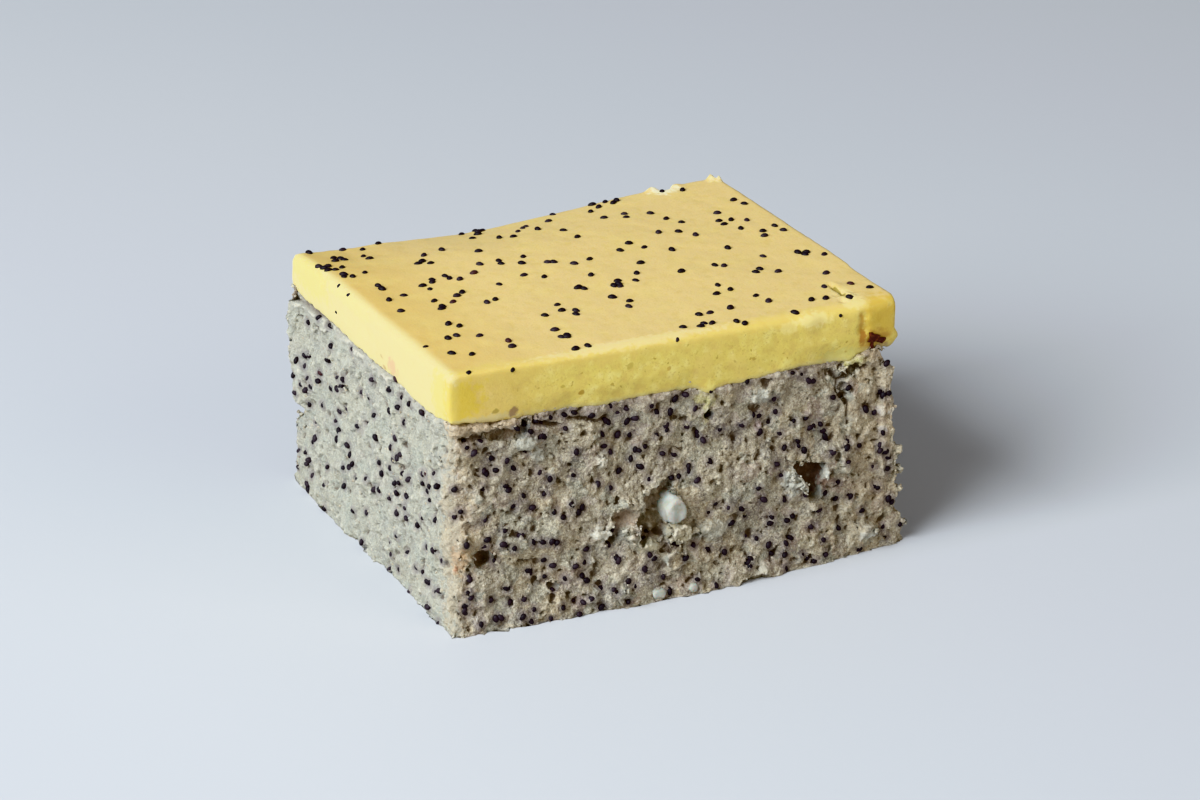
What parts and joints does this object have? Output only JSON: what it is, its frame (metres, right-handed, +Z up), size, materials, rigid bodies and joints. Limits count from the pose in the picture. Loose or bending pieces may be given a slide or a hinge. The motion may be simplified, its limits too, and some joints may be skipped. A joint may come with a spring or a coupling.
{
  "type": "lemon poppy seed blondie",
  "caption": "Rectangular cut of crumbly poppy seed cake with a smooth slab of lemon icing on top, dotted with poppy seeds.",
  "frame": {"origin": "on the underside, below the middle of the whole block's bounding box", "axes": "+X along the long cut side, +Y from the near long side to the far one, +Z up through the icing"},
  "size_m": [0.0804, 0.066, 0.0421],
  "materials": {
    "seeded_crumb": "dry, open, crumbly cut face with dark seeds",
    "lemon_icing": "smooth satin icing"
  },
  "bodies": {
    "root": {"crumb_base": "seeded_crumb", "lemon_icing": "lemon_icing"}
  },
  "joints": []
}
